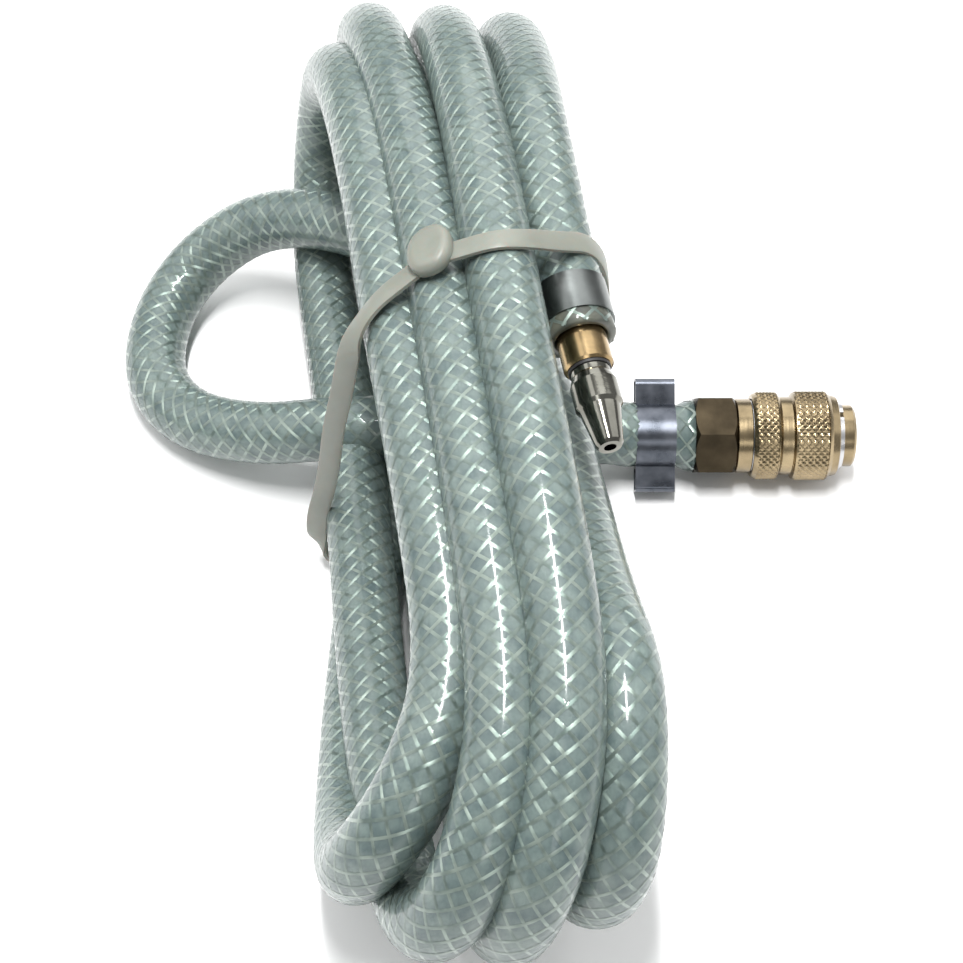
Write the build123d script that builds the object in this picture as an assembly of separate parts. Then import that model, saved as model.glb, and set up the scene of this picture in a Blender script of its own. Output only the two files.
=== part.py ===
"""Braided hose wound in a hank, with a quick-coupling socket on one end and a plug on the other.

Frame: millimetres, +Z up, the hose lies on the plane Z = 0 and the origin is under the middle of
the whole object. The hank is long in Y, and the socket points along +X.
"""
import os
from math import atan2, degrees, pi, radians, tan

from build123d import *

# ---------------------------------------------------------------- driving dimensions
HOSE_R = 7.5

# Wound part of the hose: an oval ring, one hose thick.
COIL_HALF_LENGTH = 125.0
COIL_HEIGHT = 99.7
COIL_SINK = 0.4
COIL_WALL = 14.5
COIL_ROUNDNESS = 2.35
COIL_PLAN = [
    (-47.5, 125), (15, 125), (18.5, 70), (16, 42), (9, 24), (9, -18), (18, -50),
    (33, -75), (33, -112), (24, -125), (-24, -125), (-34, -105), (-37, -20), (-48.5, 60),
]

# Route of the hose from the hank, out to the left as a loop and back to the socket.
LOOP_ROUTE = [
    (27, -78, 74), (26, -56, 66), (21.5, -28, 54.5), (15, 6, 49), (4, 36, 45), (-14, 60, 42),
    (-36, 77, 36), (-55, 86, 27), (-69, 86, 16.5), (-79, 78, 9.5), (-83.4, 63, 7.6), (-82, 47, 7.5),
    (-72, 34, 8.8), (-54, 25, 15), (-36, 21, 22.5), (-14, 22, 22.6), (4, 25, 21.5), (28, 28, 10.9),
    (51.4, 28, 10.9),
]

# Route of the end that carries the plug, from inside the hank to the hose's end face.
TAIL_ROUTE = [(11, 60, 87.5), (13.5, 38, 88.5), (16.4, 16, 86.4), (20.5, -4, 83.5)]

# Socket: its axis is parallel to X.
SOCKET_Y = 28.0
SOCKET_Z = 10.9
HEX_ACROSS_FLATS = 18.0
TAIL_END = 38.0
HEX_START = 51.6
HEX_END = 61.4
COLLAR_END = 65.2
COLLAR_R = 9.0
BODY_R = 7.5
BODY_END = 90.4
PLUG_BORE_R = 5.0
PLUG_BORE_START = 75.0
GUIDE_START = 83.0
GUIDE_GROOVE_R = 5.7
SPIGOT_R = 6.0
SPIGOT_END = 66.0
TAIL_BORE_R = 3.2
SPRING_WELL_R = 4.3
SPRING_WELL_START = 60.5
CHAMBER_R = 5.6
SEAT_START = 73.0
SEAT_END = 74.0
THROAT_R = 3.6

# Ball lock.
BALL_COUNT = 4
BALL_R = 1.5
BALL_X = 80.5
BALL_CENTRE_R = 6.0
BALL_HOLE_R = 1.53
BALL_LIP_R = 1.36
BALL_LIP_DEPTH = 5.3

# Sliding sleeve, drawn at rest against its retaining ring.
SLEEVE_START = 65.5
SLEEVE_STEP = 72.0
SLEEVE_END = 86.15
SKIRT_R = 9.06
LAND_R = 7.55
RELIEF_R = 8.6
RING_START = 86.3
RING_END = 87.3
RING_GROOVE_R = 7.0
RING_R = 8.2

# Clamp on the socket end.
CLAMP_START = 37.4
CLAMP_WIDTH = 9.5
CLAMP_THICK = 0.7
EAR_TIP_R = 13.8
EAR_WIDTH = 6.4
EAR_TILT = 37.0

# Plug, along its own axis from the hose's end face.
STEM_R = 5.25
STEM_LENGTH = 7.6
WASHER_THICK = 0.6
NOSE_LENGTH = 18.0
NOSE_MAX_R = 4.95
NOSE_BORE_R = 1.3
PLUG_BARB_LENGTH = 11.0
PLUG_SPIGOT_R = 3.0

# Cable tie: a strap round the hank, turned and leaning a little out of the upright plane across it.
TIE_Y = 5.0
TIE_TURN = 15.0
TIE_LEAN = 2.0
TIE_WIDTH = 4.8
TIE_THICK = 1.3
TIE_HULL = [(-18, 82), (4, 93), (20.2, 86.8), (18.5, 49), (7, 9.2), (-25, 9.2), (-31, 20)]
TIE_HEAD_R = 4.8
TIE_HEAD_HEIGHT = 6.0
TIE_HEAD_X = -10.0


# ---------------------------------------------------------------- helpers
UPWARD = (Align.CENTER, Align.CENTER, Align.MIN)


def corner_radii(points):
    """Arc radius for each inner point: 0.45 of the shorter run over the tangent of half the turn."""
    radii = []
    for before, here, after in zip(points, points[1:], points[2:]):
        run_in = Vector(*here) - Vector(*before)
        run_out = Vector(*after) - Vector(*here)
        shorter = min(run_in.length, run_out.length)
        radii.append(0.45 * shorter / tan(radians(run_in.get_angle(run_out) / 2)))
    return radii


def tube(name, points, radius=HOSE_R):
    """A round tube along straight runs joined by tangent arcs."""
    radii = corner_radii(points)
    path = FilletPolyline(*points, radius=radii)
    face = Plane(origin=path @ 0, z_dir=path % 0) * Circle(radius)
    solid = sweep(face, path=path)
    expected = pi * radius**2 * path.length
    print(name, "radii", [round(r, 1) for r in radii])
    print(name, "length", round(path.length, 1), "volume over section x length",
          round(solid.volume / expected, 4))
    return solid


def turned(profile):
    """A solid of revolution about the socket's axis, from (x, r) points."""
    face = make_face(Polyline(*profile, close=True))
    return Pos(0, SOCKET_Y, SOCKET_Z) * revolve(face, Axis.X, 360)


def along_socket(shape):
    """Move a shape drawn about the X axis to the socket's axis."""
    return Pos(0, SOCKET_Y, SOCKET_Z) * shape


PLUG_ORIGIN = Vector(*TAIL_ROUTE[-1])
PLUG_AXIS = (PLUG_ORIGIN - Vector(*TAIL_ROUTE[-2])).normalized()
PLUG_PLANE = Plane(origin=PLUG_ORIGIN, z_dir=PLUG_AXIS)


def turned_plug(profile):
    """A solid of revolution about the plug's axis, from (r, s) points."""
    face = make_face(Plane.XZ * Polyline(*profile, close=True))
    return PLUG_PLANE.location * revolve(face, Axis.Z, 360)


def oval_face(half_length, half_height, mid_z):
    """A closed superellipse in the YZ plane, as a smooth curve through points worked out by formula."""
    steps = 32
    points = []
    for i in range(steps):
        vertex = Vector(1, 0).rotate(Axis.Z, 360 * i / steps)
        along = abs(vertex.X) ** (2 / COIL_ROUNDNESS) * (1 if vertex.X >= 0 else -1)
        up = abs(vertex.Y) ** (2 / COIL_ROUNDNESS) * (1 if vertex.Y >= 0 else -1)
        points.append((0, half_length * along, mid_z + half_height * up))
    return make_face(Spline(*points, periodic=True))


# ---------------------------------------------------------------- tie
def tie_place():
    """The tie's own plane: X across the hank, Z up, with its origin at the hank's middle height."""
    return Pos(0, TIE_Y, 50) * Rot(0, 0, TIE_TURN) * Rot(-TIE_LEAN, 0, 0)


def tie_outline(margin):
    """Convex outline of the hank's section at the tie, drawn in XZ."""
    hull = make_face(Polyline(*TIE_HULL, close=True))
    return offset(hull, amount=HOSE_R + margin, kind=Kind.ARC)


def tie_prism(margin, width):
    """The outline as a slab of that width in the tie's plane."""
    slab = extrude(Plane.XZ * tie_outline(margin), amount=width / 2, both=True)
    return tie_place() * Pos(0, 0, -50) * slab


def make_tie_strap():
    return tie_prism(TIE_THICK, TIE_WIDTH) - tie_prism(0.02, TIE_WIDTH + 2)


def tie_head_place():
    """Where the head sits: on the strap's upper left stretch, square to it."""
    left, top = TIE_HULL[0], TIE_HULL[1]
    slope = atan2(top[1] - left[1], top[0] - left[0])
    share = (TIE_HEAD_X - left[0]) / (top[0] - left[0])
    mid_z = left[1] + share * (top[1] - left[1])
    upright = Pos(TIE_HEAD_X, 0, mid_z - 50) * Rot(0, -degrees(slope), 0) * Pos(0, 0, HOSE_R)
    return tie_place() * upright


def make_tie_head(strap):
    head = Cylinder(TIE_HEAD_R, TIE_HEAD_HEIGHT, align=UPWARD)
    head = fillet(head.edges().sort_by(Axis.Z)[-1], 2.2)
    return tie_head_place() * head - strap


# ---------------------------------------------------------------- hose
def make_hose_coil():
    half = COIL_HEIGHT / 2
    mid = half - COIL_SINK
    outer = extrude(oval_face(COIL_HALF_LENGTH, half, mid), amount=70, both=True)
    inner = extrude(oval_face(COIL_HALF_LENGTH - COIL_WALL, half - COIL_WALL, mid), amount=71, both=True)
    plan = extrude(make_face(Polyline(*COIL_PLAN, close=True)), amount=COIL_HEIGHT)
    ring = (outer - inner) & plan
    groove = tie_place() * Box(150, TIE_WIDTH + 0.2, 140)
    seat = tie_head_place() * Pos(0, 0, -1) * Cylinder(TIE_HEAD_R + 0.1, 12, align=UPWARD)
    return ring - (groove - tie_prism(0, TIE_WIDTH + 4)) - seat


def make_hose_loop():
    hose = tube("hose_loop", LOOP_ROUTE)
    end = LOOP_ROUTE[-1][0]
    cuff = [
        (CLAMP_START - 4, HOSE_R - 0.5), (CLAMP_START - 3.5, HOSE_R), (CLAMP_START - 1, 8.1),
        (CLAMP_START - 0.1, HOSE_R), (CLAMP_START + CLAMP_WIDTH, HOSE_R), (48.4, 8.6), (end, 8.75),
        (end, 6), (CLAMP_START - 4, 6),
    ]
    pocket = turned([(TAIL_END, 0), (TAIL_END, 5.8), (end + 1, 5.8), (end + 1, 0)])
    return hose + turned(cuff) - pocket


def make_hose_plug_tail():
    hose = tube("hose_plug_tail", TAIL_ROUTE)
    pocket = turned_plug([(0, -PLUG_BARB_LENGTH), (STEM_R, -PLUG_BARB_LENGTH), (STEM_R, 1), (0, 1)])
    return hose - pocket


# ---------------------------------------------------------------- socket
def barb_profile(start, end, count, root, crest):
    """Outer edge of a barbed tail, as (position, radius) points from start to end."""
    points = []
    step = (end - start) / count
    for i in range(count):
        points.append((start + i * step, root))
        points.append((start + (i + 0.75) * step, crest))
        points.append((start + (i + 0.76) * step, root))
    return points


def make_socket_tail():
    barbs = barb_profile(TAIL_END, 50, 3, 5.0, 5.75)
    outline = [(TAIL_END, TAIL_BORE_R)] + barbs + [
        (HEX_START, 5.2), (HEX_START, 8.0), (HEX_END, 8.0), (HEX_END, SPIGOT_R),
        (62.4, SPIGOT_R), (62.4, 5.1), (63.4, 5.1), (63.4, SPIGOT_R),
        (SPIGOT_END, SPIGOT_R), (SPIGOT_END, SPRING_WELL_R), (SPRING_WELL_START, SPRING_WELL_R),
        (SPRING_WELL_START, TAIL_BORE_R),
    ]
    tail = turned(outline)
    flats = RegularPolygon(HEX_ACROSS_FLATS / 2, 6, major_radius=False, rotation=EAR_TILT + 30)
    hexagon = extrude(Plane.YZ * flats, amount=HEX_END - HEX_START)
    chamfered = revolve(make_face(Polyline(
        (0, 0), (0, 9.1), (1.0, 10.5), (HEX_END - HEX_START - 1.0, 10.5), (HEX_END - HEX_START, 9.1),
        (HEX_END - HEX_START, 0), close=True)), Axis.X, 360)
    hexagon = along_socket(Pos(HEX_START, 0, 0) * (hexagon & chamfered))
    core = turned([(HEX_START - 1, 0), (HEX_START - 1, 7.9), (HEX_END + 1, 7.9), (HEX_END + 1, 0)])
    return tail + (hexagon - core)


def make_socket_body():
    outline = [
        (HEX_END, COLLAR_R - 0.5), (HEX_END + 0.5, COLLAR_R), (COLLAR_END, COLLAR_R), (COLLAR_END, BODY_R),
        (RING_START - 0.05, BODY_R), (RING_START - 0.05, RING_GROOVE_R),
        (RING_END + 0.05, RING_GROOVE_R), (RING_END + 0.05, BODY_R),
        (BODY_END - 0.6, BODY_R), (BODY_END, BODY_R - 0.6), (BODY_END, PLUG_BORE_R),
        (GUIDE_START, PLUG_BORE_R), (GUIDE_START, GUIDE_GROOVE_R), (GUIDE_START - 0.6, GUIDE_GROOVE_R),
        (GUIDE_START - 0.6, PLUG_BORE_R), (78.2, PLUG_BORE_R), (78.2, 6.1), (76.3, 6.1), (76.3, PLUG_BORE_R),
        (PLUG_BORE_START, PLUG_BORE_R), (PLUG_BORE_START, THROAT_R), (SEAT_END, THROAT_R),
        (SEAT_START, CHAMBER_R), (SPIGOT_END, CHAMBER_R), (SPIGOT_END, SPIGOT_R), (HEX_END, SPIGOT_R),
    ]
    body = turned(outline)
    hole = Pos(0, 0, BALL_LIP_DEPTH) * Cylinder(BALL_HOLE_R, 6, align=UPWARD)
    lip = Pos(0, 0, 3) * Cylinder(BALL_LIP_R, 4, align=UPWARD)
    for i in range(BALL_COUNT):
        turn = Rot(360 * i / BALL_COUNT + 45, 0, 0)
        body -= along_socket(Pos(BALL_X, 0, 0) * turn * (hole + lip))
    return body


def make_ball(index):
    turn = Rot(360 * index / BALL_COUNT + 45, 0, 0)
    return along_socket(Pos(BALL_X, 0, 0) * turn * Pos(0, 0, BALL_CENTRE_R) * Sphere(BALL_R))


def make_knurled_sleeve():
    return turned([
        (SLEEVE_START, SKIRT_R), (SLEEVE_START, 10.0), (66.3, 10.7), (71.6, 10.7), (72.3, 9.5),
        (75.0, 9.5), (75.7, 10.9), (83.6, 10.9), (84.4, 10.0), (SLEEVE_END, 9.6), (SLEEVE_END, LAND_R),
        (84.9, LAND_R), (84.9, RELIEF_R), (83.3, RELIEF_R), (80.3, 7.6), (80.3, LAND_R),
        (SLEEVE_STEP, LAND_R), (SLEEVE_STEP, SKIRT_R),
    ])


def make_spring(start, end, mean_r, wire_r, turns):
    """A round-wire compression spring about the socket's axis."""
    margin = wire_r + 0.05
    height = end - start - 2 * margin
    helix = Helix(pitch=height / turns, height=height, radius=mean_r)
    wire = sweep(Plane(origin=helix @ 0, z_dir=helix % 0) * Circle(wire_r), path=helix, is_frenet=True)
    return along_socket(Pos(start + margin, 0, 0) * Rot(0, 90, 0) * wire)


def make_retaining_ring():
    ring = turned([
        (RING_START, RING_GROOVE_R), (RING_START, RING_R), (RING_END, RING_R), (RING_END, RING_GROOVE_R),
    ])
    gap = along_socket(Pos(RING_START, 0, 8) * Box(6, 1.6, 6))
    return ring - gap


def make_valve_poppet():
    poppet = turned([
        (56, 0), (56, 3.12), (70.6, 3.12), (70.6, 5.0), (72.15, 5.0), (72.15, 3.98), (73.45, 3.98),
        (73.45, 3.3), (75.3, 3.3), (75.3, 0),
    ])
    for i in range(3):
        flute = Rot(120 * i, 0, 0) * Pos(63, 0, 3.4) * Box(14.6, 3.2, 2.4)
        poppet -= along_socket(flute)
    return poppet


def make_o_ring(x, mean_r, section_r):
    return along_socket(Pos(x, 0, 0) * Rot(0, 90, 0) * Torus(mean_r, section_r))


def make_socket_clamp():
    outer = HOSE_R + CLAMP_THICK
    band = turned([
        (CLAMP_START, HOSE_R), (CLAMP_START, outer), (CLAMP_START + CLAMP_WIDTH, outer),
        (CLAMP_START + CLAMP_WIDTH, HOSE_R),
    ])
    mid_x = CLAMP_START + CLAMP_WIDTH / 2
    for side in (0, 180):
        height = EAR_TIP_R - HOSE_R
        block = Pos(0, 0, HOSE_R + height / 2 - 0.2) * Box(CLAMP_WIDTH, EAR_WIDTH, height + 0.4)
        block = fillet(block.edges().filter_by(Axis.X).group_by(Axis.Z)[-1], 1.4)
        window = Pos(0, 0, outer + height / 2 - CLAMP_THICK) * Box(
            CLAMP_WIDTH + 1, EAR_WIDTH - 2 * CLAMP_THICK, height - CLAMP_THICK - 0.4)
        ear = Rot(EAR_TILT - 90 + side, 0, 0) * (block - window)
        band += along_socket(Pos(mid_x, 0, 0) * ear)
    hose_space = turned([(30, 0), (30, HOSE_R), (52, HOSE_R), (52, 0)])
    return band - hose_space


# ---------------------------------------------------------------- plug
def make_plug_tail():
    barbs = [(radius, s) for s, radius in barb_profile(-PLUG_BARB_LENGTH, -1.5, 3, 4.4, 5.2)]
    return turned_plug([(2.2, -PLUG_BARB_LENGTH)] + barbs + [
        (4.6, 0), (STEM_R, 0), (STEM_R, STEM_LENGTH - 0.5), (STEM_R - 0.5, STEM_LENGTH),
        (PLUG_SPIGOT_R, STEM_LENGTH), (PLUG_SPIGOT_R, STEM_LENGTH + 5), (2.2, STEM_LENGTH + 5),
    ])


def make_nose_seal():
    top = STEM_LENGTH + WASHER_THICK
    return turned_plug([
        (PLUG_SPIGOT_R, STEM_LENGTH), (4.5, STEM_LENGTH), (4.5, top), (PLUG_SPIGOT_R, top),
    ])


def make_plug_nose():
    start = STEM_LENGTH + WASHER_THICK
    return turned_plug([
        (PLUG_SPIGOT_R, start), (4.2, start), (4.2, start + 1.4), (NOSE_MAX_R, start + 3.4),
        (NOSE_MAX_R, start + 8.4), (4.3, start + 9.2), (2.9, start + NOSE_LENGTH - 0.7),
        (2.4, start + NOSE_LENGTH), (NOSE_BORE_R, start + NOSE_LENGTH), (NOSE_BORE_R, STEM_LENGTH + 5.1),
        (PLUG_SPIGOT_R, STEM_LENGTH + 5.1),
    ])


def make_plug_ferrule():
    return turned_plug([(HOSE_R, -12.0), (7.95, -12.0), (7.95, -3.0), (HOSE_R, -3.0)])


# ---------------------------------------------------------------- export
tie_strap = make_tie_strap()
nodes = {
    "hose_coil": make_hose_coil(),
    "hose_loop": make_hose_loop(),
    "hose_plug_tail": make_hose_plug_tail(),
    "socket_tail": make_socket_tail(),
    "socket_body": make_socket_body(),
    "knurled_sleeve": make_knurled_sleeve(),
    "sleeve_spring": make_spring(COLLAR_END, SLEEVE_STEP, 8.28, 0.45, 3.5),
    "retaining_ring": make_retaining_ring(),
    "valve_poppet": make_valve_poppet(),
    "valve_spring": make_spring(SPRING_WELL_START, 70.6, 3.75, 0.3, 7),
    "poppet_seal": make_o_ring(72.8, 4.6, 0.6),
    "tail_seal": make_o_ring(62.9, 5.55, 0.44),
    "plug_seal_ring": make_o_ring(77.25, 5.56, 0.52),
    "socket_clamp": make_socket_clamp(),
    "plug_tail": make_plug_tail(),
    "nose_seal": make_nose_seal(),
    "plug_nose": make_plug_nose(),
    "plug_ferrule": make_plug_ferrule(),
    "tie_strap": tie_strap,
    "tie_head": make_tie_head(tie_strap),
}
for ball in range(BALL_COUNT):
    nodes[f"ball_{ball + 1}"] = make_ball(ball)

os.makedirs("parts", exist_ok=True)
for name, shape in nodes.items():
    export_step(shape, f"parts/{name}.step")

box = Compound(children=[Compound(shape.wrapped) for shape in nodes.values()]).bounding_box()
print("whole object", box.min, box.max)
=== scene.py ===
"""A braided hose wound in a hank, with a quick-coupling socket and a plug: looks, light and camera.

Places and sizes are in millimetres, and become metres times MM.
"""
import math

import bpy
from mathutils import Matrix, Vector


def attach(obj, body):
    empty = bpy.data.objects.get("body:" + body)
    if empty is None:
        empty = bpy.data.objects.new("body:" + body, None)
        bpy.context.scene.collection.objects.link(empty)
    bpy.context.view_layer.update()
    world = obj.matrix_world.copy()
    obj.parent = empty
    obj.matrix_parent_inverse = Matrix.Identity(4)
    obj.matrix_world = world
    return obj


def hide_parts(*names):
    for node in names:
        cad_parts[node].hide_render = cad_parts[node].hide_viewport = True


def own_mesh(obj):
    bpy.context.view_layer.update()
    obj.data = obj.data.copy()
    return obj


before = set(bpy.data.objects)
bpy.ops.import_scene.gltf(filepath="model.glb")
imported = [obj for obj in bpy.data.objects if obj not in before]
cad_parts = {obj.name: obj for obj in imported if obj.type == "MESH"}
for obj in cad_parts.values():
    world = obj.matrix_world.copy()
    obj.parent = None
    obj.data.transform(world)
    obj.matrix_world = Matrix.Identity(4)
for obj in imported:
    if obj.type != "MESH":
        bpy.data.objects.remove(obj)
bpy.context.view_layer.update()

MM = 0.001
FULL_TURN = 2 * math.pi

# ---------------------------------------------------------------- camera
CAMERA_ELEVATION = math.radians(53)
CAMERA_TARGET = Vector((0, -17, 52)) * MM
CAMERA_DISTANCE = 430 * MM
CAMERA_LENS = 75
CAMERA_SENSOR = 36
CAMERA_NEAREST = 10 * MM


def make_camera():
    data = bpy.data.cameras.new("camera")
    data.lens = CAMERA_LENS
    data.sensor_width = CAMERA_SENSOR
    data.clip_start = CAMERA_NEAREST
    camera = bpy.data.objects.new("camera", data)
    bpy.context.scene.collection.objects.link(camera)
    look = Vector((0, math.cos(CAMERA_ELEVATION), -math.sin(CAMERA_ELEVATION)))
    camera.location = CAMERA_TARGET - look * CAMERA_DISTANCE
    camera.rotation_euler = (math.pi / 2 - CAMERA_ELEVATION, 0, 0)
    bpy.context.scene.camera = camera


# ---------------------------------------------------------------- route of the hose
# The wound part: each turn starts at its near end and goes over the top, round the far end and
# back under. Eight stations to a turn give its place across the hank and how far it is lifted.
MID_Y, MID_Z = 4.0, 49.5
HALF_HEIGHT, ROUNDNESS = 42.5, 2.35
STATIONS = 8
TURNS = [
    {"near": 108, "far": 113,
     "x": (0, 0, 18, 9.5, 3, -9, -25, -27.5), "lift": (0, 0, -6, -4, 0, 0, 0, 0)},
    {"near": 109, "far": 103,
     "x": (-22, -4.5, -18, -31, -39, -41, -29, -18.5), "lift": (0, -9, -9, -5, -3, 0, 11, 9)},
    {"near": 122, "far": 117,
     "x": (-7, 5.5, -8, -24, -30, -27, -8, 0), "lift": (0, -3, -3, -3, 0, 10, 1, 0)},
    {"near": 122, "far": 112,
     "x": (7, 16.5, 4, -7, -12, -12, 7, 15), "lift": (0, 0, 3, 2, 0, 12, 1, 0)},
    {"near": 114, "far": 110,
     "x": (24.5, 27, 20, 0, 0, 0, 0, 0), "lift": (0, -4, 0, 0, 0, 0, 0, 0)},
]
FIRST_STATION, LAST_STATION = 3, 33
# The plug's end, from the plug to the wound part.
TAIL_ROUTE = [(20.5, -4, 83.5), (16.4, 16, 86.4), (13.5, 38, 88.5), (11, 60, 87.5)]
# From the wound part through the inside of the hank, round the loop at the left and back to the socket.
LOOP_ROUTE = [
    (23, -57, 67), (20, -28, 54.5), (15, 6, 49), (4, 36, 45), (-14, 60, 42),
    (-36, 77, 36), (-55, 86, 27), (-69, 86, 16.5), (-79, 78, 9.5), (-83.4, 63, 7.6), (-82, 47, 7.5),
    (-72, 34, 8.8), (-54, 25, 15), (-36, 21, 22.5), (-14, 22, 22.6), (4, 25, 21.5), (28, 28, 10.9),
    (51.4, 28, 10.9),
]
CURVE_RESOLUTION = 10
SHORTEST_RUN = 1e-12


def between(values, i):
    """Smooth value half way from station i to the next one."""
    return (-values[i - 1] + 9 * values[i] + 9 * values[i + 1] - values[i + 2]) / 16


def oval(angle, half_length):
    """Point of the turns' oval, lengthwise and upwards."""
    c, s = math.cos(angle), math.sin(angle)
    power = 2 / ROUNDNESS
    return (math.copysign(abs(c) ** power, c) * half_length,
            math.copysign(abs(s) ** power, s) * HALF_HEIGHT)


def coil_points():
    """Sixteen points to a turn: the stations and the places half way between them."""
    across = [x for turn in TURNS for x in turn["x"]]
    lifts = [lift for turn in TURNS for lift in turn["lift"]]
    points = []
    for half_station in range(2 * FIRST_STATION, 2 * LAST_STATION + 1):
        i, halfway = divmod(half_station, 2)
        x, lift = (between(across, i), between(lifts, i)) if halfway else (across[i], lifts[i])
        at = half_station % (2 * STATIONS)
        if at < STATIONS / 2:
            half_length = TURNS[i // STATIONS]["near"]
        elif at <= STATIONS * 3 / 2:
            half_length = TURNS[i // STATIONS]["far"]
        else:
            half_length = TURNS[i // STATIONS + 1]["near"]
        y, z = oval(math.pi - at * math.pi / STATIONS, half_length)
        points.append((x, MID_Y + y, MID_Z + z + lift))
    return points


def nurbs_line(name, points, closed=False):
    """The smooth line, in metres, that has these points as its control points."""
    data = bpy.data.curves.new(name, "CURVE")
    data.dimensions = "3D"
    data.resolution_u = CURVE_RESOLUTION
    spline = data.splines.new("NURBS")
    spline.points.add(len(points) - 1)
    for point, place in zip(spline.points, points):
        point.co = (place[0] * MM, place[1] * MM, place[2] * MM, 1)
    spline.order_u = 3
    if closed:
        spline.use_cyclic_u = True
    else:
        spline.use_endpoint_u = True
    curve = bpy.data.objects.new(name, data)
    bpy.context.scene.collection.objects.link(curve)
    mesh = bpy.data.meshes.new_from_object(curve)
    line = [v.co.copy() for v in mesh.vertices]
    bpy.data.objects.remove(curve)
    return line


def even_line(line, step):
    """The same line, with points an even step apart, and its length, all in metres."""
    run = [0.0]
    for a, b in zip(line, line[1:]):
        run.append(run[-1] + (b - a).length)
    count = max(2, round(run[-1] / step))
    even, k = [], 0
    for i in range(count + 1):
        s = run[-1] * i / count
        while k < len(line) - 2 and run[k + 1] < s:
            k += 1
        share = (s - run[k]) / max(run[k + 1] - run[k], SHORTEST_RUN)
        even.append(line[k].lerp(line[k + 1], min(1, max(0, share))))
    return even, run[-1]


def frames_along(line):
    """Normal and binormal at each point, carried along without twist."""
    frames = []
    side = Vector((0, 0, 1))
    for i in range(len(line)):
        ahead = (line[min(i + 1, len(line) - 1)] - line[max(i - 1, 0)]).normalized()
        side = (side - ahead * side.dot(ahead)).normalized()
        frames.append((side.copy(), ahead.cross(side)))
    return frames


# ---------------------------------------------------------------- mesh helpers
def make_object(name, vertices, faces, material, body="hose", uvs=None):
    """A smooth-shaded piece of this material that rides on body."""
    mesh = bpy.data.meshes.new(name)
    mesh.from_pydata([tuple(v) for v in vertices], [], faces)
    mesh.materials.append(material)
    mesh.shade_smooth()
    if uvs is not None:
        layer = mesh.uv_layers.new(name="along")
        for loop in mesh.loops:
            layer.data[loop.index].uv = uvs[loop.vertex_index]
    mesh.update()
    piece = bpy.data.objects.new(name, mesh)
    bpy.context.scene.collection.objects.link(piece)
    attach(piece, body)
    return piece


def sharpen(piece, degrees):
    """Sharp edges where two faces meet at more than this angle."""
    piece.data.set_sharp_from_angle(angle=math.radians(degrees))


def angles(count):
    """Evenly spaced angles round one full turn."""
    return [FULL_TURN * j / count for j in range(count)]


def ring(centre, side, up, radius, count):
    """Points round centre, in the plane of side and up."""
    return [centre + (side * math.cos(angle) + up * math.sin(angle)) * radius for angle in angles(count)]


def bridge(first, second, count):
    """Quads between two closed rings of count points, each given by the number of its first point."""
    quads = []
    for j in range(count):
        k = (j + 1) % count
        quads.append((first + j, first + k, second + k, second + j))
    return quads


def tube_faces(rows, columns):
    """Quads between each closed ring of points and the next."""
    return [quad for i in range(rows - 1) for quad in bridge(i * columns, (i + 1) * columns, columns)]


def band_faces(rows, columns, start):
    """Quads between neighbouring open rows of points, numbered from start."""
    quads = []
    for i in range(rows - 1):
        for j in range(columns - 1):
            a = start + i * columns + j
            quads.append((a, a + 1, a + 1 + columns, a + columns))
    return quads


# ---------------------------------------------------------------- materials
def new_material(name):
    material = bpy.data.materials.new(name)
    material.use_nodes = True
    nodes = material.node_tree.nodes
    return material, nodes, material.node_tree.links, nodes["Principled BSDF"]


def set_surface(surface, **values):
    for key, value in values.items():
        surface.inputs[key.replace("_", " ")].default_value = value


def noise(nodes, links, scale, detail, stretch=None):
    """Noise in object space, stretched if asked."""
    place = nodes.new("ShaderNodeTexCoord")
    texture = nodes.new("ShaderNodeTexNoise")
    texture.inputs["Scale"].default_value = scale
    texture.inputs["Detail"].default_value = detail
    if stretch:
        mapping = nodes.new("ShaderNodeMapping")
        mapping.inputs["Scale"].default_value = stretch
        links.new(place.outputs["Object"], mapping.inputs["Vector"])
        links.new(mapping.outputs["Vector"], texture.inputs["Vector"])
    else:
        links.new(place.outputs["Object"], texture.inputs["Vector"])
    return texture


def coloured(nodes, links, texture, surface, low, high, start=0.3, end=0.7):
    """Base colour from low to high, as the texture goes from start to end."""
    node = nodes.new("ShaderNodeValToRGB")
    node.color_ramp.elements[0].position = start
    node.color_ramp.elements[0].color = (*low, 1)
    node.color_ramp.elements[1].position = end
    node.color_ramp.elements[1].color = (*high, 1)
    links.new(texture.outputs["Fac"], node.inputs["Fac"])
    links.new(node.outputs["Color"], surface.inputs["Base Color"])


def bumped(nodes, links, texture, surface, strength, height):
    """Bumps of this height, in metres, from the texture."""
    bump = nodes.new("ShaderNodeBump")
    bump.inputs["Strength"].default_value = strength
    bump.inputs["Distance"].default_value = height
    links.new(texture.outputs["Fac"], bump.inputs["Height"])
    links.new(bump.outputs["Normal"], surface.inputs["Normal"])


def hose_material(name, low, high):
    """Milky clear plastic: cloudy grey green, under a glossy skin."""
    material, nodes, links, surface = new_material(name)
    set_surface(surface, Roughness=0.5, IOR=1.4, Subsurface_Weight=0.35, Subsurface_Scale=0.004,
                Subsurface_Radius=(0.9, 1.0, 0.95), Coat_Weight=0.6, Coat_Roughness=0.1, Coat_IOR=1.4)
    cloud = noise(nodes, links, scale=240, detail=4)
    coloured(nodes, links, cloud, surface, low, high)
    ripple = noise(nodes, links, scale=700, detail=2)
    bumped(nodes, links, ripple, surface, strength=0.12, height=0.0004)
    return material


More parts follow.
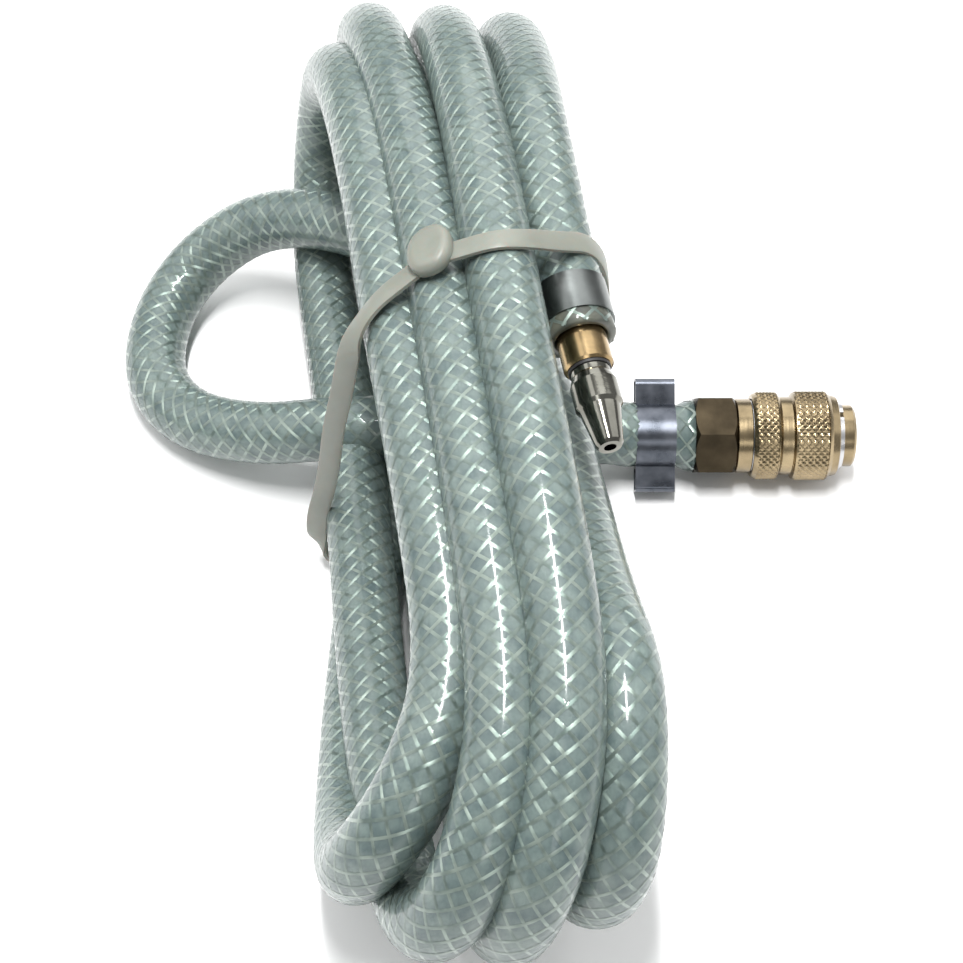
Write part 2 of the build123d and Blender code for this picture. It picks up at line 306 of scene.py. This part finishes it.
def yarn_material():
    """Pale polyester yarn seen through the skin, with its shine across the fibres."""
    material, nodes, links, surface = new_material("yarn")
    set_surface(surface, Metallic=0.64, Roughness=0.44, IOR=1.5, Anisotropic=0.95, Coat_Weight=0.7,
                Coat_Roughness=0.08)
    tangent = nodes.new("ShaderNodeTangent")
    tangent.direction_type = "UV_MAP"
    tangent.uv_map = "along"
    links.new(tangent.outputs["Tangent"], surface.inputs["Tangent"])
    patch = noise(nodes, links, scale=260, detail=2)
    coloured(nodes, links, patch, surface, (0.125, 0.17, 0.152), (0.25, 0.305, 0.268), 0.35, 0.65)
    return material


# How dense fine marks are along X, Y and Z. The socket is turned about X and the plug about a line close
# to Y. The marks on the clamp run across its band, along X.
MARKS_EVEN = (60, 60, 60)
MARKS_ROUND_X = (40, 1.5, 1.5)
MARKS_ROUND_Y = (2, 40, 6)
MARKS_ALONG_X = (2, 30, 30)


def metal(name, low, high, roughness, marks=MARKS_EVEN, tarnish=140, bump=0.05):
    """Metal tarnished in patches of this noise scale, with fine bumps stretched as marks says."""
    material, nodes, links, surface = new_material(name)
    set_surface(surface, Metallic=1.0, Roughness=roughness)
    patch = noise(nodes, links, scale=tarnish, detail=4)
    coloured(nodes, links, patch, surface, low, high)
    rough = nodes.new("ShaderNodeMapRange")
    rough.inputs["To Min"].default_value = roughness * 0.75
    rough.inputs["To Max"].default_value = roughness * 1.35
    links.new(patch.outputs["Fac"], rough.inputs["Value"])
    links.new(rough.outputs["Result"], surface.inputs["Roughness"])
    turning = noise(nodes, links, scale=30, detail=2, stretch=marks)
    bumped(nodes, links, turning, surface, strength=bump, height=0.0003)
    return material


def plastic(name, low, high, roughness, mottle=120, subsurface=0.0):
    """Plastic or rubber, faintly mottled, with a fine grain."""
    material, nodes, links, surface = new_material(name)
    set_surface(surface, Roughness=roughness, IOR=1.5, Subsurface_Weight=subsurface,
                Subsurface_Scale=0.002)
    patch = noise(nodes, links, scale=mottle, detail=4)
    coloured(nodes, links, patch, surface, low, high)
    grain = noise(nodes, links, scale=900, detail=2)
    bumped(nodes, links, grain, surface, strength=0.1, height=0.0002)
    return material


HOSE = hose_material("clear_plastic", (0.07, 0.104, 0.105), (0.148, 0.194, 0.178))
HOSE_OVER_BRASS = hose_material("clear_plastic_over_brass", (0.035, 0.04, 0.034), (0.10, 0.105, 0.08))
YARN = yarn_material()
BRASS = metal("turned_brass", (0.18, 0.14, 0.083), (0.37, 0.29, 0.175), 0.24, MARKS_ROUND_X, bump=0.08)
BRASS_DARK = metal("dull_brass", (0.032, 0.025, 0.016), (0.072, 0.056, 0.035), 0.34, MARKS_ROUND_X)
BRASS_STEM = metal("stem_brass", (0.23, 0.16, 0.08), (0.41, 0.30, 0.16), 0.2, MARKS_ROUND_Y)
NICKEL = metal("nickel", (0.14, 0.138, 0.118), (0.27, 0.266, 0.235), 0.12, MARKS_ROUND_Y)
ZINC = metal("zinc_plate", (0.058, 0.065, 0.078), (0.135, 0.145, 0.168), 0.28, MARKS_ALONG_X, tarnish=200)
STEEL = metal("steel", (0.45, 0.45, 0.46), (0.62, 0.62, 0.63), 0.25)
FERRULE = metal("ferrule", (0.105, 0.116, 0.113), (0.185, 0.198, 0.194), 0.28, MARKS_ROUND_Y, tarnish=120)
BALL = metal("ball_steel", (0.6, 0.6, 0.6), (0.75, 0.75, 0.76), 0.08, bump=0.0)
RUBBER = plastic("seal_rubber", (0.015, 0.015, 0.016), (0.03, 0.03, 0.032), 0.5)
NYLON = plastic("tie_nylon", (0.17, 0.18, 0.152), (0.215, 0.225, 0.193), 0.42, mottle=60, subsurface=0.25)

FINISHES = {
    "socket_tail": BRASS_DARK, "socket_body": BRASS, "valve_poppet": BRASS, "plug_tail": BRASS_STEM,
    "plug_nose": NICKEL, "plug_ferrule": FERRULE, "socket_clamp": ZINC, "retaining_ring": STEEL,
    "nose_seal": RUBBER, "poppet_seal": RUBBER, "tail_seal": RUBBER, "plug_seal_ring": RUBBER,
}
BALLS = 4
FINISHES.update({f"ball_{number}": BALL for number in range(1, BALLS + 1)})


def finish_nodes():
    """The CAD nodes that stay visible, each in its own material."""
    for node, material in FINISHES.items():
        for material_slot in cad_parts[node].material_slots:
            material_slot.material = material


# ---------------------------------------------------------------- hose
HOSE_R = 7.5
HOSE_STEP, HOSE_SIDES = 2, 48
# Changes of the hose's radius, and how far from its end each one comes or goes.
TAIL_FLARE, TAIL_FLARE_SPAN = 1.2, (0.5, 4.4)
CLAMP_BULGE, CLAMP_BULGE_RISE, CLAMP_BULGE_FALL = 0.45, (14.1, 15.2), (15.2, 19.5)
PLUG_NECK, PLUG_NECK_SPAN = 0.1, (0.0, 3.0)
# Each cut end stands out a little past the line, with a rounded edge, and its bore is drawn a few
# millimetres deep: how far in each ring lies, and its radius.
CUT_STANDS_OUT, CUT_ROUNDING = 0.35, 0.5
BORE_RINGS = [(-CUT_STANDS_OUT, 5.9), (0.1, 5.4), (6.0, 5.3)]
# The last few millimetres at the plug, where the brass tail shows through.
OVER_BRASS_AT_PLUG = 4.5
HOSE_UV_LENGTH = 100


def eased(value, start, end):
    """From 0 at start to 1 at end, with soft ends."""
    t = min(1, max(0, (value - start) / (end - start)))
    return t * t * (3 - 2 * t)


def hose_radius(from_socket, from_plug):
    """The hose flares over the socket's tail, bulges just behind the clamp and narrows at the plug."""
    flare = TAIL_FLARE * (1 - eased(from_socket, *TAIL_FLARE_SPAN))
    rise, fall = eased(from_socket, *CLAMP_BULGE_RISE), eased(from_socket, *CLAMP_BULGE_FALL)
    bulge = CLAMP_BULGE * rise * (1 - fall)
    neck = PLUG_NECK * (1 - eased(from_plug, *PLUG_NECK_SPAN))
    return HOSE_R + flare + bulge - neck


def make_hose():
    """One tube along the whole route, with its cut ends and the start of its bore at each."""
    route = list(reversed(TAIL_ROUTE + coil_points() + LOOP_ROUTE))
    line, length = even_line(nurbs_line("route", route), HOSE_STEP * MM)
    frames = frames_along(line)
    last = len(line) - 1
    total = length / MM
    step = total / last
    vertices, rows = [], []
    for i, (point, (side, up)) in enumerate(zip(line, frames)):
        vertices += ring(point, side, up, hose_radius(i * step, total - i * step) * MM, HOSE_SIDES)
        rows.append(i)
    faces = tube_faces(len(line), HOSE_SIDES)
    for at, inward in ((0, line[1] - line[0]), (last, line[-2] - line[-1])):
        inward = inward.normalized()
        side, up = frames[at]
        edge = at * HOSE_SIDES
        rim = (-CUT_STANDS_OUT, hose_radius(at * step, total - at * step) - CUT_ROUNDING)
        for depth, radius in [rim] + BORE_RINGS:
            faces += bridge(edge, len(vertices), HOSE_SIDES)
            edge = len(vertices)
            vertices += ring(line[at] + inward * depth * MM, side, up, radius * MM, HOSE_SIDES)
            rows.append(at)
    uvs = [(j / HOSE_SIDES, row * step / HOSE_UV_LENGTH) for row in rows for j in range(HOSE_SIDES)]
    hose = make_object("hose", vertices, faces, HOSE, uvs=uvs)
    hose.data.materials.append(HOSE_OVER_BRASS)
    for face in hose.data.polygons:
        row = face.vertices[0] // HOSE_SIDES
        if row >= last - OVER_BRASS_AT_PLUG / step:
            face.material_index = 1
    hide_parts("hose_coil", "hose_loop", "hose_plug_tail")
    return hose, line, frames, length


# Each yarn goes once round the hose in one lead. One set lies two layers above the other.
YARNS_EACH_WAY = 10
YARN_LEAD = 40.0
YARN_STEPS_PER_LEAD = 40
YARN_WIDTH = 0.70
YARN_EDGE_HEIGHT, YARN_CROWN_HEIGHT = 0.03, 0.07
YARN_LAYER = 0.015
YARN_UV_LENGTH = 10


def make_yarns(line, frames, length):
    """Two sets of flat yarns wound opposite ways, one lying over the other."""
    total = length / MM
    steps = round(total / YARN_LEAD * YARN_STEPS_PER_LEAD)
    vertices, faces, uvs = [], [], []
    for way in (1, -1):
        for k in range(YARNS_EACH_WAY):
            faces += band_faces(steps + 1, 3, start=len(vertices))
            for i in range(steps + 1):
                s = total * i / steps
                at = s / total * (len(line) - 1)
                a = min(int(at), len(line) - 2)
                share = at - a
                point = line[a].lerp(line[a + 1], share)
                side = frames[a][0].lerp(frames[a + 1][0], share).normalized()
                up = frames[a][1].lerp(frames[a + 1][1], share).normalized()
                ahead = side.cross(up)
                r = hose_radius(s, total - s)
                angle = way * FULL_TURN * s / YARN_LEAD + FULL_TURN * k / YARNS_EACH_WAY
                slope = math.atan2(FULL_TURN * r / YARN_LEAD, 1) * way
                for j, height in ((-1, YARN_EDGE_HEIGHT), (0, YARN_CROWN_HEIGHT), (1, YARN_EDGE_HEIGHT)):
                    height += YARN_LAYER * way
                    along = -math.sin(slope) * j * YARN_WIDTH / 2
                    turn = angle + math.cos(slope) * j * YARN_WIDTH / 2 / r
                    outward = side * math.cos(turn) + up * math.sin(turn)
                    vertices.append(point + outward * (r + height) * MM + ahead * along * MM)
                    uvs.append(((j + 1) / 2, s / YARN_UV_LENGTH))
    yarns = make_object("hose_yarns", vertices, faces, YARN, uvs=uvs)
    return yarns


# ---------------------------------------------------------------- knurled sleeve of the socket
SOCKET_Y, SOCKET_Z = 28.0, 10.9
# Places along X and radii, round the outside and back through the bore.
SLEEVE_PROFILE = [
    (65.5, 9.06), (65.5, 9.9), (65.7, 10.1), (66.35, 10.62), (71.5, 10.62), (71.8, 10.4), (72.4, 9.5),
    (75.0, 9.5), (75.5, 10.5), (75.8, 10.82), (83.5, 10.82), (83.8, 10.6), (84.4, 10.0), (86.0, 9.6),
    (86.15, 9.4), (86.15, 7.56), (84.9, 7.56), (84.9, 8.6), (83.3, 8.6), (80.3, 7.6), (72.0, 7.56),
    (72.0, 9.06), (65.5, 9.06),
]
SLEEVE_SIDES = 420
SLEEVE_SHARP_DEGREES = 28
# Where each knurled band starts and ends, and how many diamonds go round it.
KNURLS = [(66.35, 71.5), (75.8, 83.5)]
KNURLS_ROUND = 42
KNURL_PITCH = 1.62
KNURL_HEIGHT, KNURL_DEPTH = 0.34, 0.26
KNURL_RUN_OUT = 0.3
KNURL_STEP = 0.18


def knurl(x, angle):
    """Height, 0 to 1, of the diamond knurl at this place along and round the sleeve."""
    for first, last in KNURLS:
        if first < x < last:
            u = angle / FULL_TURN * KNURLS_ROUND
            v = (x - first) / KNURL_PITCH
            a = abs((u + v) % 1 - 0.5) * 2
            b = abs((u - v) % 1 - 0.5) * 2
            return min(a, b) * min(1, (x - first) / KNURL_RUN_OUT, (last - x) / KNURL_RUN_OUT)
    return 0.0


def sleeve_rows():
    """The sleeve's profile with close rows where it is knurled: place along X, radius, knurled or not."""
    rows = []
    for (x0, r0), (x1, r1) in zip(SLEEVE_PROFILE, SLEEVE_PROFILE[1:]):
        knurled = x1 > x0 and any(first <= x0 and x1 <= last for first, last in KNURLS)
        count = max(1, round((x1 - x0) / KNURL_STEP)) if knurled else 1
        for i in range(count):
            share = i / count
            rows.append((x0 + (x1 - x0) * share, r0 + (r1 - r0) * share, knurled))
    return rows


def make_sleeve():
    rows = sleeve_rows()
    vertices = []
    for x, radius, knurled in rows:
        for angle in angles(SLEEVE_SIDES):
            r = radius + (KNURL_HEIGHT * knurl(x, angle) - KNURL_DEPTH if knurled else 0)
            place = Vector((x, SOCKET_Y - r * math.sin(angle), SOCKET_Z + r * math.cos(angle)))
            vertices.append(place * MM)
    faces = tube_faces(len(rows), SLEEVE_SIDES)
    faces += bridge((len(rows) - 1) * SLEEVE_SIDES, 0, SLEEVE_SIDES)
    sleeve = make_object("sleeve_knurled", vertices, faces, BRASS, body="sleeve")
    sharpen(sleeve, SLEEVE_SHARP_DEGREES)
    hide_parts("knurled_sleeve")


# ---------------------------------------------------------------- springs inside the socket
SPRING_STEPS_PER_TURN = 36
SPRING_SIDES = 12
CLOSED_TURNS = 0.5


def make_spring(name, node, ends, radius, wire, turns):
    """A spring of round wire with closed ends, laid between its two ends along X."""
    start, end = ends
    along, across, upward = Vector((1, 0, 0)), Vector((0, 1, 0)), Vector((0, 0, 1))
    steps = round(turns * SPRING_STEPS_PER_TURN)
    closed = CLOSED_TURNS / turns
    vertices = []
    for i in range(steps + 1):
        share = min(1, max(0, (i / steps - closed) / (1 - 2 * closed)))
        angle = FULL_TURN * turns * i / steps
        outward = across * math.cos(angle) + upward * math.sin(angle)
        middle = Vector((start + wire + (end - start - 2 * wire) * share, SOCKET_Y, SOCKET_Z))
        vertices += ring((middle + outward * radius) * MM, along, outward, wire * MM, SPRING_SIDES)
    faces = tube_faces(steps + 1, SPRING_SIDES)
    faces.append(tuple(range(SPRING_SIDES)))
    faces.append(tuple(reversed(range(steps * SPRING_SIDES, (steps + 1) * SPRING_SIDES))))
    spring = make_object(name, vertices, faces, STEEL)
    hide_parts(node)
    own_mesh(spring)


# ---------------------------------------------------------------- cable tie
TIE_ROUTE = [
    (-21.9, -0.5, 90.6), (-16, 3, 93.8), (-10, 6, 97.0), (-3, 5.5, 100.6), (3, 5.5, 103.0),
    (9.5, 7, 101.5), (16, 10.5, 97.0), (22, 14.5, 92.6), (25.6, 15.5, 86.5), (26.8, 15, 79),
    (27.5, 13, 68), (25, 11, 50), (20, 8, 28), (15, 4, 10), (9, 1, 1.2), (-4, -1, 0.8),
    (-20, -2, 0.8), (-34, -2, 1.4), (-38.6, -2, 7), (-38.6, -2, 17), (-36.0, -2.5, 28),
    (-33.9, -3.3, 40), (-32.2, -4, 54), (-29.8, -5, 66), (-28, -5, 77), (-26.3, -4, 85),
]
TIE_STEP = 1.5
TIE_INSIDE = Vector((-6, 3, 50))
TIE_HALF_WIDTH, TIE_THICKNESS = 2.4, 1.1
# The band's section: places across, in half widths, and heights, in thicknesses.
TIE_SECTION = [
    (-1, 0.15), (-0.86, 0.0), (0.86, 0.0), (1, 0.15),
    (1, 0.85), (0.86, 1.0), (-0.86, 1.0), (-1, 0.85),
]
TIE_SHARP_DEGREES = 35
# Which way the band's width points, flat on the hank and turned to face the near end, and the heights
# between which it goes from one to the other and back.
TIE_FLAT, TIE_TURNED = Vector((0, 1, 0)), Vector((-1, 0.25, -0.4))
TIE_TURNS_OUT, TIE_TURNS_BACK = (3, 14), (76, 92)


def tie_lean(point):
    """Which way the band's width points here: only the slack left side is turned."""
    if point.x > 0:
        return TIE_FLAT
    turned = eased(point.z, *TIE_TURNS_OUT) * (1 - eased(point.z, *TIE_TURNS_BACK))
    return TIE_FLAT.lerp(TIE_TURNED, turned)


def make_tie_band():
    """The closed strap, drawn as a band of one section all the way round."""
    line, _ = even_line(nurbs_line("tie_route", TIE_ROUTE, closed=True), TIE_STEP * MM)
    count, sides = len(line), len(TIE_SECTION)
    vertices = []
    for i, point in enumerate(line):
        ahead = (line[(i + 1) % count] - line[i - 1]).normalized()
        lean = tie_lean(point / MM)
        wide = (lean - ahead * lean.dot(ahead)).normalized()
        out = ahead.cross(wide)
        if out.dot(point - TIE_INSIDE * MM) < 0:
            out = -out
        for across, height in TIE_SECTION:
            offset = wide * across * TIE_HALF_WIDTH + out * (height - 0.5) * TIE_THICKNESS
            vertices.append(point + offset * MM)
    faces = tube_faces(count, sides) + bridge((count - 1) * sides, 0, sides)
    strap = make_object("tie_band", vertices, faces, NYLON)
    sharpen(strap, TIE_SHARP_DEGREES)
    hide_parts("tie_strap")


LOCK_CENTRE = Vector((-10.3, 6.8, 98.1))
LOCK_TILT = math.radians(-28)
LOCK_SIDES, LOCK_SQUARENESS = 48, 2.3
LOCK_STRETCH_X, LOCK_STRETCH_Y = 0.95, 1.16
# Radii and heights, from the middle of the underside round to the dish on top.
LOCK_PROFILE = [
    (0.0, -1.6), (4.5, -1.6), (5.1, -1.0), (5.25, 0.6), (4.95, 1.6),
    (4.2, 2.15), (3.1, 2.2), (1.9, 1.95), (0.0, 1.85),
]


def make_tie_lock():
    """A rounded box with a shallow dish on top, tilted with the strap."""
    vertices = []
    for radius, z in LOCK_PROFILE:
        for angle in angles(LOCK_SIDES):
            c, s = math.cos(angle), math.sin(angle)
            square = (abs(c) ** LOCK_SQUARENESS + abs(s) ** LOCK_SQUARENESS) ** (-1 / LOCK_SQUARENESS)
            r = radius * square
            x, y = r * LOCK_STRETCH_X * c, r * LOCK_STRETCH_Y * s
            tilted_x = x * math.cos(LOCK_TILT) + z * math.sin(LOCK_TILT)
            tilted_z = z * math.cos(LOCK_TILT) - x * math.sin(LOCK_TILT)
            vertices.append((LOCK_CENTRE + Vector((tilted_x, y, tilted_z))) * MM)
    head = make_object("tie_lock", vertices, tube_faces(len(LOCK_PROFILE), LOCK_SIDES), NYLON)
    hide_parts("tie_head")


# ---------------------------------------------------------------- floor and light, in metres and watts
FLOOR_HALF_SIZE = 6
FLOOR_DROP = 0.0004
FLOOR_GREY = 0.93
WORLD_STRENGTH = 0.38


def make_stage():
    """A plain pale floor, just under the lowest piece."""
    mesh = bpy.data.meshes.new("floor")
    size = FLOOR_HALF_SIZE
    corners = [(-size, -size, 0), (size, -size, 0), (size, size, 0), (-size, size, 0)]
    mesh.from_pydata(corners, [], [(0, 1, 2, 3)])
    material, _, _, surface = new_material("floor")
    set_surface(surface, Base_Color=(FLOOR_GREY, FLOOR_GREY, FLOOR_GREY, 1), Roughness=0.9)
    mesh.materials.append(material)
    floor = bpy.data.objects.new("floor", mesh)
    floor.location.z = -FLOOR_DROP
    bpy.context.scene.collection.objects.link(floor)


def add_light(name, place, aim, size, power):
    data = bpy.data.lights.new(name, "AREA")
    data.shape = "DISK"
    data.size = size
    data.energy = power
    light = bpy.data.objects.new(name, data)
    light.location = place
    light.rotation_euler = (Vector(aim) - Vector(place)).to_track_quat("-Z", "Y").to_euler()
    bpy.context.scene.collection.objects.link(light)
    return light


def make_light():
    """Soft light all round, and a narrow strip overhead that draws a streak along each turn."""
    world = bpy.data.worlds.new("studio")
    world.use_nodes = True
    background = world.node_tree.nodes["Background"]
    background.inputs["Color"].default_value = (1, 1, 1, 1)
    background.inputs["Strength"].default_value = WORLD_STRENGTH
    bpy.context.scene.world = world
    strip = add_light("strip_above", (-0.02, -0.04, 0.86), (-0.02, -0.04, 0), size=0.05, power=9.0)
    strip.rotation_euler = (0, 0, 0)
    strip.data.shape = "RECTANGLE"
    strip.data.size_y = 0.43
    add_light("soft_left", (-0.9, 0.2, 0.9), (0, 0, 0.03), size=1.4, power=7.4)
    add_light("soft_right", (0.9, 0.1, 0.8), (0, 0, 0.03), size=1.2, power=4.5)
    add_light("soft_back", (0.1, 0.9, 0.9), (0, 0, 0.03), size=1.2, power=7.5)
    add_light("low_front", (0.1, -0.8, 0.47), (0.05, 0, 0.02), size=0.25, power=0.6)


# ---------------------------------------------------------------- build
make_camera()
hose, hose_line, hose_frames, hose_length = make_hose()
yarns = make_yarns(hose_line, hose_frames, hose_length)
make_sleeve()
make_spring("sleeve_coil_spring", "sleeve_spring", ends=(65.2, 72.0), radius=8.28, wire=0.45, turns=3.5)
make_spring("valve_coil_spring", "valve_spring", ends=(60.5, 70.6), radius=3.75, wire=0.3, turns=7)
make_tie_band()
make_tie_lock()
finish_nodes()
make_stage()
make_light()
scene = bpy.context.scene
scene.view_settings.view_transform = "Standard"
scene.view_settings.look = "None"
